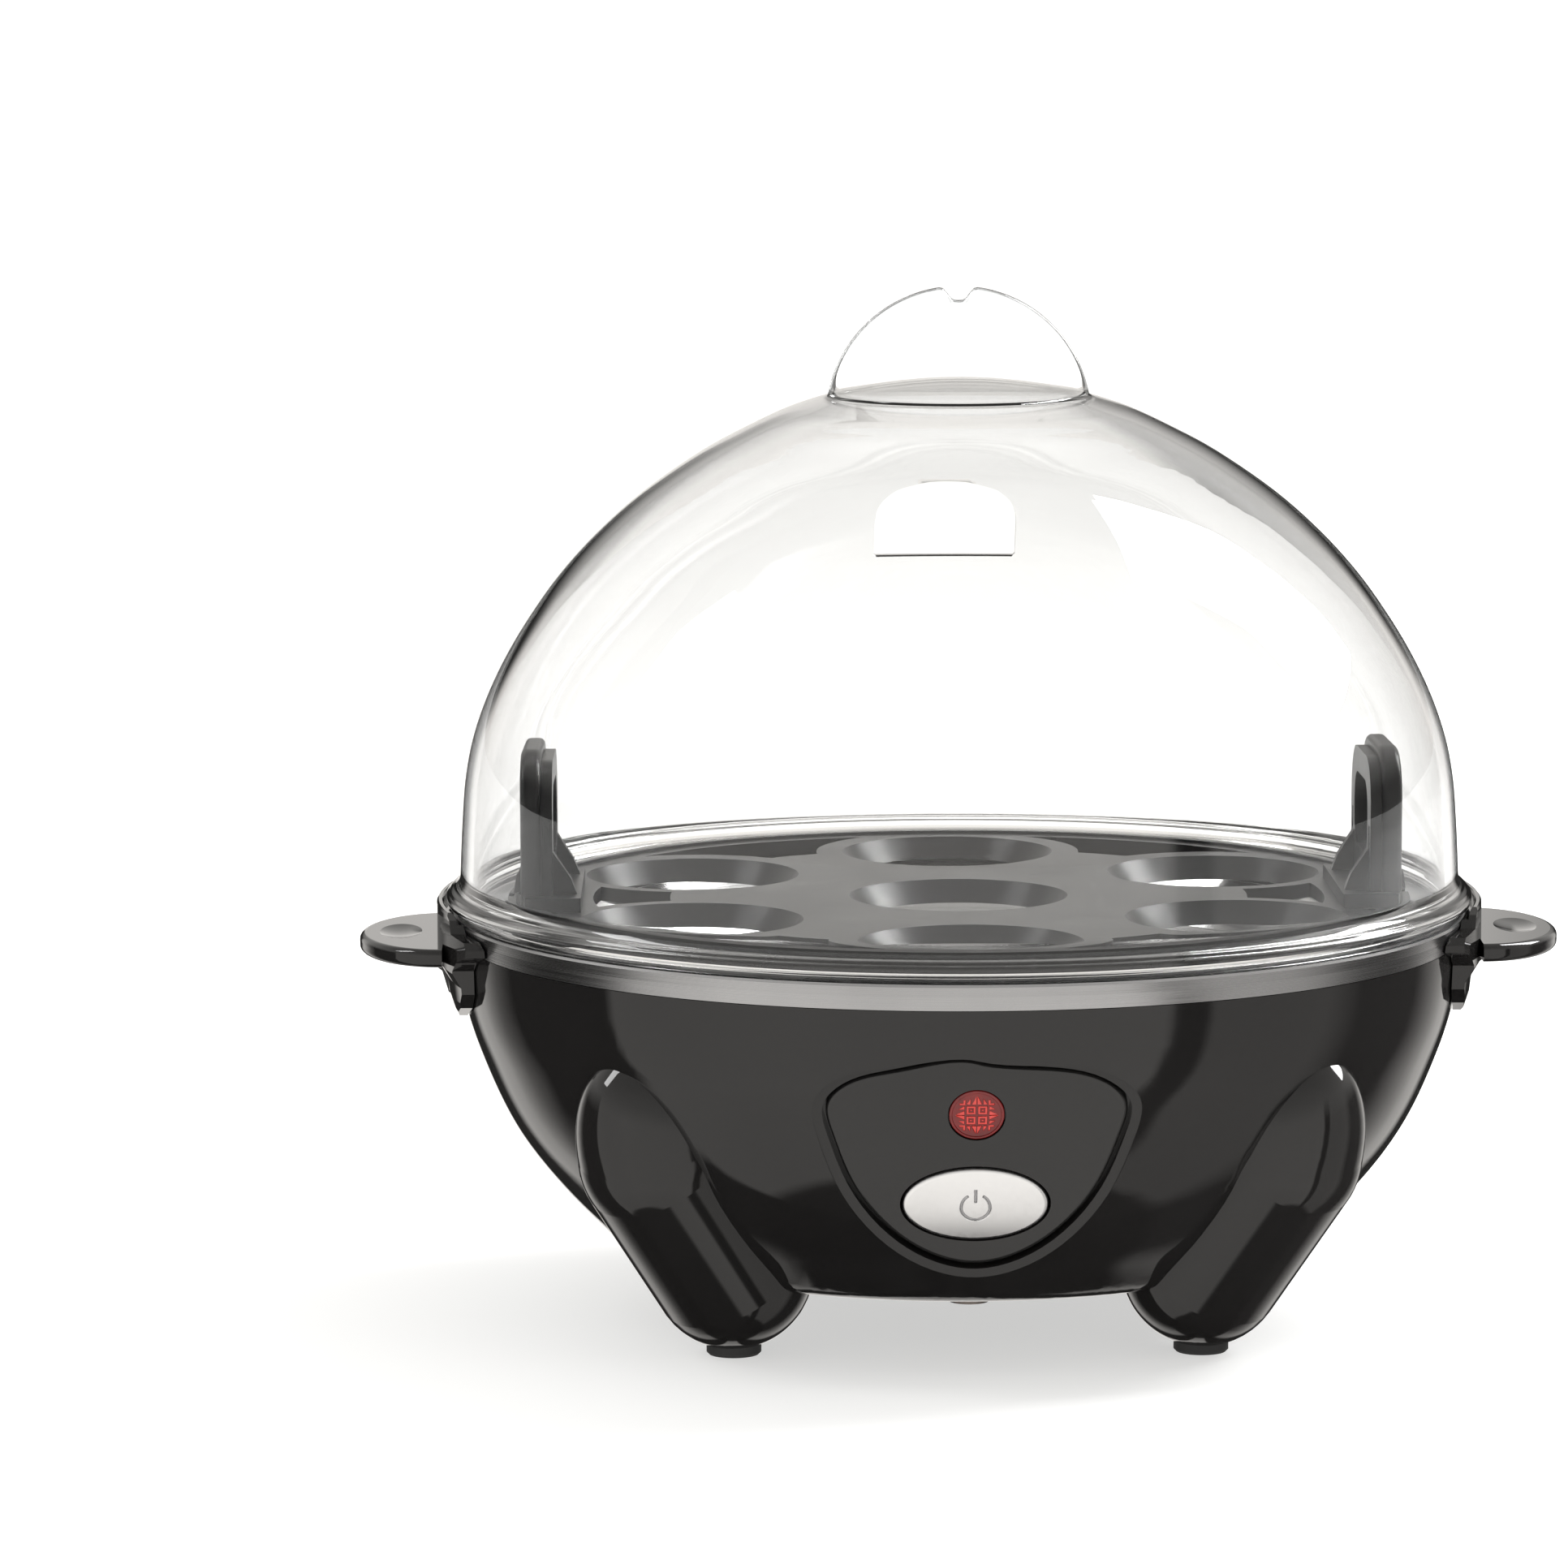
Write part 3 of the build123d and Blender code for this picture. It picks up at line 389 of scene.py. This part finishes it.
# fin: a half disc with a rolled edge, standing on the crown
def fin_mesh():
    R, CZ, TH = 20.6, 139.9, 2.4
    prof_in = [(R - 1.6, TH / 2), (R - 0.9, TH / 2), (R - 0.45, TH / 2 - 0.12), (R - 0.12, TH / 2 - 0.42), (R, TH / 2 - 0.8)]
    prof_full = prof_in + [(r, -t) for r, t in prof_in[::-1]]
    verts, faces = [], []
    a0, a1, n = radians(8.9), radians(171.1), 96
    rows = []
    for i in range(n + 1):
        a = a0 + (a1 - a0) * i / n
        d = abs(a - pi / 2) * R
        dip = 2.2 * math.exp(-(d / 1.95) ** 4)
        row = []
        for r, t in prof_full:
            rr = r - dip
            row.append(len(verts))
            verts.append((rr * cos(a) * MM, t * MM, (CZ + rr * sin(a)) * MM))
        rows.append(row)
    k = len(prof_full)
    for i in range(n):
        for j in range(k - 1):
            faces.append([rows[i][j], rows[i][j + 1], rows[i + 1][j + 1], rows[i + 1][j]])
    # flat faces: fans to the foot line
    zf = 143.1
    front, back = [], []
    for i in range(n + 1):
        x = verts[rows[i][0]][0]
        front.append(len(verts)); verts.append((x, TH / 2 * MM, zf * MM))
        back.append(len(verts)); verts.append((x, -TH / 2 * MM, zf * MM))
    for i in range(n):
        faces.append([rows[i][0], rows[i + 1][0], front[i + 1], front[i]])
        faces.append([rows[i][-1], back[i], back[i + 1], rows[i + 1][-1]])
        faces.append([front[i], front[i + 1], back[i + 1], back[i]])
    for i in (0, n):
        loop = [front[i]] + rows[i] + [back[i]]
        faces.append(loop if i == 0 else loop[::-1])
    o = mesh_obj("lid_fin", verts, faces, CLEAR)
    fix_normals(o)
    # The fin's rolled rim gets the dark-tinted edge material: painted shade.
    o.data.materials.append(EDGE_PAINTED_SHADE)
    for p in o.data.polygons:
        p.use_smooth = True
        p.material_index = 1 if abs(p.normal.y) < 0.90 and p.center.z > 0.1435 else 0
    sharpen(o, 40)
    return o


fin = fin_mesh()
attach(fin, "lid")

# -------------------------------------------------- panel: lens and button
tilt = radians(20)
PO = Vector((0, -68 * MM, 34.8 * MM))
PX, PU, PN = Vector((1, 0, 0)), Vector((0, -sin(tilt), cos(tilt))), Vector((0, -cos(tilt), -sin(tilt)))


def on_panel(x, t, h):
    return PO + PX * x * MM + PU * t * MM + PN * h * MM


def height_disc(name, rx, rt, ct, h0, height, nr, na, mat, side_rings):
    """A dished or domed face over an ellipse on the panel: height(x, t) in mm, then skirt rings down to the last side
    ring's height. h0 is not used.
    """
    verts, faces = [on_panel(0, ct, height(0, 0))], []
    rows = []
    for i in range(1, nr + 1):
        f = i / nr
        row = []
        for k in range(na):
            a = 2 * pi * k / na
            x, t = rx * f * cos(a), rt * f * sin(a)
            row.append(len(verts))
            verts.append(on_panel(x, ct + t, height(x, t)))
        rows.append(row)
    for g, h in side_rings:
        row = []
        for k in range(na):
            a = 2 * pi * k / na
            row.append(len(verts))
            verts.append(on_panel((rx + g) * cos(a), ct + (rt + g) * sin(a), h))
        rows.append(row)
    for k in range(na):
        faces.append([0, rows[0][k], rows[0][(k + 1) % na]])
    for a, c in zip(rows, rows[1:]):
        for k in range(na):
            faces.append([a[k], c[k], c[(k + 1) % na], a[(k + 1) % na]])
    last = rows[-1]
    ctr = len(verts)
    verts.append(on_panel(0, ct, side_rings[-1][1]))
    for k in range(na):
        faces.append([last[k], ctr, last[(k + 1) % na]])
    o = mesh_obj(name, verts, faces, mat)
    fix_normals(o)
    for p in o.data.polygons:
        p.use_smooth = True
    sharpen(o, 50)
    return o


def smooth01(x):
    x = min(max(x, 0.0), 1.0)
    return x * x * (3 - 2 * x)


def power_mark(x, t):
    """1 in the generic power symbol: an open ring with a short bar."""
    r = math.hypot(x, t + 0.1)
    ang = abs(math.atan2(x, t + 0.1))
    d = abs(r - 2.15)
    ring = (1 - smooth01((d - 0.12) / 0.13)) * smooth01((ang - 0.50) / 0.12)
    bar = (1 - smooth01((abs(x) - 0.12) / 0.13)) * (1 - smooth01((abs(t - 1.75) - 1.0) / 0.13))
    return max(ring, bar)


def button_height(x, t):
    q = (x / 10.3) ** 2 + (t / 5.55) ** 2
    return 0.66 - 0.42 * q - 0.30 * power_mark(x, t)


button = height_disc("button_cap", 10.3, 5.55, -6.8, -3.3, button_height, 120, 288, SILVER,
                     [(0.32, 0.10), (0.48, -0.12), (0.55, -0.45), (0.55, -3.3)])
button.data.materials.append(MARK)
for p in button.data.polygons:
    c = p.center - (PO - PU * 6.8 * MM)
    if c.dot(PN) / MM > -1.0 and power_mark(c.dot(PX) / MM, c.dot(PU) / MM) > 0.5:
        p.material_index = 1
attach(button, "button")
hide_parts("power_button")


def box_d(x, t, cx, ct, hx, ht):
    return max(abs(x - cx) - hx, abs(t - ct) - ht)


def lens_relief(x, t):
    """1 on the raised pattern of the lens: four framed squares, darts on the axes, half darts and corner marks."""
    r = math.hypot(x, t)
    if r > 3.45:
        return 0.0
    u, v = abs(x), abs(t)
    d = 9.0
    # four square frames
    d = min(d, abs(box_d(u, v, 0.86, 0.86, 0.52, 0.52)) - 0.13)
    d = min(d, box_d(u, v, 0.86, 0.86, 0.14, 0.10))
    for m, n in ((u, v), (v, u)):
        # paired darts pointing outward
        k = (m - 1.85) / 1.35
        if 0 <= k <= 1 and n > 0.07:
            d = min(d, n - (0.07 + 0.66 * (1 - k)))
        # half darts beside them
        k = (m - 1.85) / 0.85
        if 0 <= k <= 1:
            d = min(d, max(n - (0.98 + 0.55 * (1 - k)), 0.98 - n))
    # corner brackets
    if u > 1.62 and v > 1.62:
        d = min(d, max(abs(min(u, v) - 1.86) - 0.13, max(u, v) - 2.55))
    return 1.0 - smooth01((d + 0.03) / 0.08)


def lens_height(x, t):
    r = math.hypot(x, t)
    h = -0.34 - 0.10 * (r / 3.6) ** 2 + 0.14 * lens_relief(x, t)
    if r > 3.62:
        h += 0.20 * smooth01((r - 3.62) / 0.12)
    return h


lens = height_disc("lens_face", 3.98, 3.98, 8.4, -2.1, lens_height, 96, 288, LENS, [(0.1, -0.32), (0.15, -0.45), (0.15, -2.1)])
lens.data.materials.append(LENS_RELIEF_PAINTED_HIGHLIGHT)
# Faces on the raised pattern get the painted-highlight red.
for p in lens.data.polygons:
    c = p.center - (PO + PU * 8.4 * MM)
    if lens_relief(c.dot(PX) / MM, c.dot(PU) / MM) > 0.5 and c.dot(PN) / MM > -1.0:
        p.material_index = 1
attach(lens, "base")
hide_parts("indicator_lens")

# ------------------------------------------------------------ stage and light
fl = 7.0
floor = mesh_obj("floor", [(-fl, -fl, 0), (fl, -fl, 0), (fl, fl, 0), (-fl, fl, 0)], [[0, 1, 2, 3]], BLACK, smooth=False)
fm, nt, b = new_mat("floor_mat")
nt.links.new(colour(nt, noise(nt, obj_coord(nt), 4, 3), (0.49, 0.49, 0.488), (0.51, 0.51, 0.508)), b.inputs["Base Color"])
b.inputs["Roughness"].default_value = 0.6
b.inputs["Specular IOR Level"].default_value = 0.2
b.inputs["Emission Color"].default_value = (1.0, 1.0, 0.99, 1)
fd = add(nt, "ShaderNodeVectorMath", operation="LENGTH")
nt.links.new(obj_coord(nt), fd.inputs[0])
nt.links.new(ramp(nt, fd.outputs["Value"], 0.56, 0.76, 0.25, 2.0), b.inputs["Emission Strength"])
floor.data.materials.clear()
floor.data.materials.append(fm)
floor.visible_glossy = False      # the gloss is lit by the studio's flags and boxes alone


def area(name, loc, target, sx, sy, power, col=(1, 1, 1), glossy=True):
    l = bpy.data.lights.new(name, "AREA")
    l.shape = "RECTANGLE"
    l.size, l.size_y = sx, sy
    l.energy = power
    l.color = col
    o = bpy.data.objects.new(name, l)
    scene.collection.objects.link(o)
    o.location = loc
    o.rotation_euler = (Vector(target) - Vector(loc)).to_track_quat("-Z", "Y").to_euler()
    o.visible_glossy = glossy
    o.visible_transmission = glossy
    return o


area("top_fill", (0.05, 0.1, 2.2), (0.05, 0.1, 0), 3.6, 3.6, 32, glossy=False)
area("right_softbox", (0.70, 0.33, 0.78), (0, 0, 0.10), 0.40, 0.78, 18)
area("left_softbox", (-0.85, 0.05, 0.80), (0, 0, 0.10), 0.22, 0.5, 3)

world = bpy.data.worlds.new("studio")
scene.world = world
world.use_nodes = True
wt = world.node_tree
wt.nodes.clear()
out = add(wt, "ShaderNodeOutputWorld")
bg = add(wt, "ShaderNodeBackground")
wt.links.new(bg.outputs[0], out.inputs[0])
tc = add(wt, "ShaderNodeTexCoord")
sep = add(wt, "ShaderNodeSeparateXYZ")
wt.links.new(tc.outputs["Generated"], sep.inputs[0])
at = add(wt, "ShaderNodeMath", operation="ARCTAN2")   # angle from the front (-Y), positive to the right
neg = add(wt, "ShaderNodeMath", operation="MULTIPLY")
neg.inputs[1].default_value = -1.0
wt.links.new(sep.outputs[1], neg.inputs[0])
wt.links.new(sep.outputs[0], at.inputs[0])
wt.links.new(neg.outputs[0], at.inputs[1])
deg = add(wt, "ShaderNodeMath", operation="MULTIPLY_ADD")
deg.inputs[1].default_value = 1 / (2 * pi)
deg.inputs[2].default_value = 0.5
wt.links.new(at.outputs[0], deg.inputs[0])


def steps(fac, stops, lo, hi):
    """Brightness ramp; stops are (position, grey) with the position in lo..hi."""
    r = add(wt, "ShaderNodeValToRGB")
    r.color_ramp.interpolation = "LINEAR"
    wt.links.new(fac, r.inputs["Fac"])
    els = r.color_ramp.elements
    while len(els) > 1:
        els.remove(els[-1])
    for i, (a, v) in enumerate(stops):
        e = els[0] if i == 0 else els.new((a - lo) / (hi - lo))
        e.position = (a - lo) / (hi - lo)
        e.color = (v, v * 0.985, v * 0.965, 1)
    return r.outputs["Color"]


# degrees round from the front: pale cyclorama, a wide black flag on the left, a thin one on the right, and two behind the sides
ring = steps(deg.outputs[0], [(-180, 1.0), (-174.5, 1.0), (-173.5, 0.02), (-161, 0.03), (-156, 0.95), (-148, 1.0), (-137, 0.35), (-128, 0.02), (-91, 0.01),
                              (-89, 0.80), (-40, 0.98), (47, 0.95), (49.5, 0.02), (56.5, 0.02), (59, 0.62), (92, 0.50), (104, 0.06), (128, 0.05),
                              (140, 0.55), (150, 0.95), (156, 0.90), (161, 0.03), (173.5, 0.02), (174.5, 1.0), (180, 1.0)], -180, 180)
half = add(wt, "ShaderNodeMath", operation="MULTIPLY_ADD")
half.inputs[1].default_value = 0.5
half.inputs[2].default_value = 0.5
wt.links.new(sep.outputs[2], half.inputs[0])
# height: dark under the table line, full at eye level, dimmer overhead
rise = steps(half.outputs[0], [(-1.0, 0.02), (-0.90, 0.03), (-0.875, 0.85), (-0.6, 1.0), (0.12, 1.0), (0.35, 0.75), (0.7, 0.55), (1.0, 0.5)], -1, 1)
mix = add(wt, "ShaderNodeMix", data_type="RGBA", blend_type="MULTIPLY")
mix.inputs["Factor"].default_value = 1.0
# the flags stand low: over them the walls are pale
low = add(wt, "ShaderNodeMapRange")
low.inputs["From Min"].default_value = 0.06
low.inputs["From Max"].default_value = 0.34
wt.links.new(sep.outputs[2], low.inputs["Value"])
over = add(wt, "ShaderNodeMix", data_type="RGBA")
over.inputs[7].default_value = (0.92, 0.915, 0.90, 1)
wt.links.new(low.outputs["Result"], over.inputs["Factor"])
wt.links.new(ring, over.inputs[6])
wt.links.new(over.outputs[2], mix.inputs[6])
wt.links.new(rise, mix.inputs[7])
wt.links.new(mix.outputs[2], bg.inputs["Color"])
bg.inputs["Strength"].default_value = 1.05

scene.view_settings.view_transform = "Standard"
scene.view_settings.exposure = 0.0

# --------------------------------------------------------------------- camera
D, ELEV, AZ = 1.3, radians(8.0), radians(-2.2)
TGT = Vector((0, 0, 0.075))
cam_loc = TGT + D * Vector((sin(AZ) * cos(ELEV), -cos(AZ) * cos(ELEV), sin(ELEV)))
cd = bpy.data.cameras.new("camera")
cam = bpy.data.objects.new("camera", cd)
scene.collection.objects.link(cam)
F_PX = 7.9 * 1300
cd.sensor_width = 36
cd.lens = 36 * F_PX / 1932
cd.clip_start = 0.05
cd.clip_end = 50
cam.location = cam_loc
q = (TGT - cam_loc).to_track_quat("-Z", "Y")
q = q @ Quaternion((0, 1, 0), math.atan((1181 - 966) / F_PX)) @ Quaternion((1, 0, 0), math.atan((1027 - 966) / F_PX))
cam.rotation_euler = q.to_euler()
scene.camera = cam
